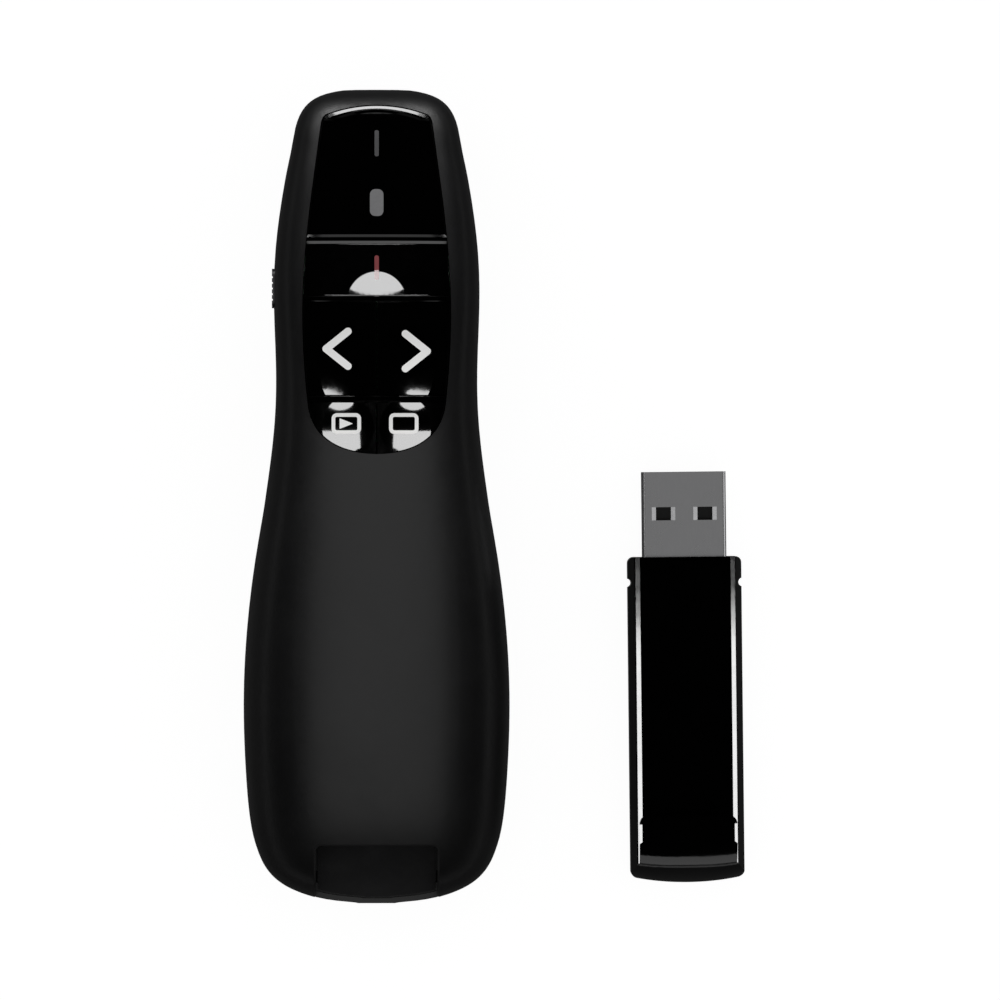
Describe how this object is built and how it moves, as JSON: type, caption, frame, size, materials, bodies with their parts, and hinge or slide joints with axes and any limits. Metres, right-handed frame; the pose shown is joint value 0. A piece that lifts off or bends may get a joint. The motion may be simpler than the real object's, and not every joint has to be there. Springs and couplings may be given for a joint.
{
  "type": "wireless presentation clicker",
  "caption": "Hand-held slide remote with a waisted black body, glossy keys, a laser pointer, a side power slider and a battery door, with its USB receiver lying beside it.",
  "frame": {"origin": "middle of the remote's footprint, on the flat of its belly, which rests on the table", "axes": "+Y along the remote towards its laser nose, +Z out of the keys, +X to the right of the keys"},
  "size_m": [0.0717, 0.1156, 0.0274],
  "materials": {
    "soft_touch_black": "soft-touch lacquer",
    "gloss_black": "polished",
    "inner_black": "moulded",
    "smoked_light_pipe": "translucent",
    "board_green": "solder mask",
    "chip_black": "moulded epoxy",
    "switch_metal": "stamped",
    "tinned_steel": "tinned",
    "ceramic_tan": "fired",
    "led_clear": "moulded",
    "brass": "turned",
    "lens_glass": "polished",
    "steel": "zinc plated",
    "foam_grey": "foam",
    "wire_red": "insulation",
    "wire_black": "insulation",
    "cell_sleeve": "shrink sleeve",
    "plunger_black": "moulded",
    "bright_steel": "bright plated",
    "gilt": "gold flash",
    "tongue_white": "moulded"
  },
  "bodies": {
    "remote": {"top_shell": "soft_touch_black", "bottom_shell": "soft_touch_black", "button_bezel": "gloss_black", "status_light_pipe": "smoked_light_pipe", "signal_light_pipe": "smoked_light_pipe", "status_leds": "led_clear", "main_board": "board_green", "tact_switch_bodies": "switch_metal", "microcontroller_chip": "chip_black", "rf_shield_can": "tinned_steel", "crystal_oscillator": "tinned_steel", "chip_antenna": "ceramic_tan", "chip_capacitors": "ceramic_tan", "laser_barrel": "brass", "laser_lens": "lens_glass", "laser_diode": "steel", "laser_driver_board": "board_green", "laser_wires": "wire_red", "laser_foam_pad": "foam_grey", "laser_aperture_ring": "gloss_black", "laser_window": "lens_glass", "inner_chassis": "inner_black", "dock_springs": "steel", "battery_cell_left": "cell_sleeve", "battery_cell_right": "cell_sleeve", "contact_springs": "steel", "contact_plates": "tinned_steel", "series_link_plate": "tinned_steel", "battery_wire_red": "wire_red", "battery_wire_black": "wire_black", "housing_screws": "steel", "board_screws": "steel", "power_switch_body": "tinned_steel"},
    "door": {"battery_door": "soft_touch_black"},
    "slider": {"power_slider": "inner_black", "power_switch_lever": "plunger_black"},
    "receiver": {"receiver_top_cover": "gloss_black", "receiver_bottom_cover": "gloss_black", "receiver_board": "board_green", "receiver_components": "chip_black", "usb_shell": "bright_steel", "usb_tongue": "tongue_white", "usb_contacts": "gilt"},
    "laser_key": {"laser_button": "gloss_black", "laser_switch_plunger": "plunger_black"},
    "back_key": {"back_button": "gloss_black", "back_switch_plunger": "plunger_black"},
    "forward_key": {"forward_button": "gloss_black", "forward_switch_plunger": "plunger_black"},
    "play_key": {"play_button": "gloss_black", "play_switch_plunger": "plunger_black"},
    "blank_key": {"blank_button": "gloss_black", "blank_switch_plunger": "plunger_black"}
  },
  "joints": [
    {"name": "laser_press", "type": "slide", "parent": "remote", "child": "laser_key", "axis": [0, 0, -1], "range_m": [0, 0.0005], "stiffness_N_per_m": 800, "springref_m": -0.001},
    {"name": "back_press", "type": "slide", "parent": "remote", "child": "back_key", "axis": [0, 0, -1], "range_m": [0, 0.0005], "stiffness_N_per_m": 800, "springref_m": -0.001},
    {"name": "forward_press", "type": "slide", "parent": "remote", "child": "forward_key", "axis": [0, 0, -1], "range_m": [0, 0.0005], "stiffness_N_per_m": 800, "springref_m": -0.001},
    {"name": "play_press", "type": "slide", "parent": "remote", "child": "play_key", "axis": [0, 0, -1], "range_m": [0, 0.0005], "stiffness_N_per_m": 800, "springref_m": -0.001},
    {"name": "blank_press", "type": "slide", "parent": "remote", "child": "blank_key", "axis": [0, 0, -1], "range_m": [0, 0.0005], "stiffness_N_per_m": 800, "springref_m": -0.001},
    {"name": "power_slide", "type": "slide", "parent": "remote", "child": "slider", "axis": [0, 1, 0], "range_m": [0, 0.0028]},
    {"name": "battery_door_tilt", "type": "hinge", "parent": "remote", "child": "door", "pos_m": [0, -0.00105, 0.0001], "axis": [1, 0, 0], "range_deg": [0, 65]},
    {"name": "receiver_lift", "type": "slide", "parent": "remote", "child": "receiver", "axis": [0, 0, 1], "range_m": [0, 0.06]}
  ]
}
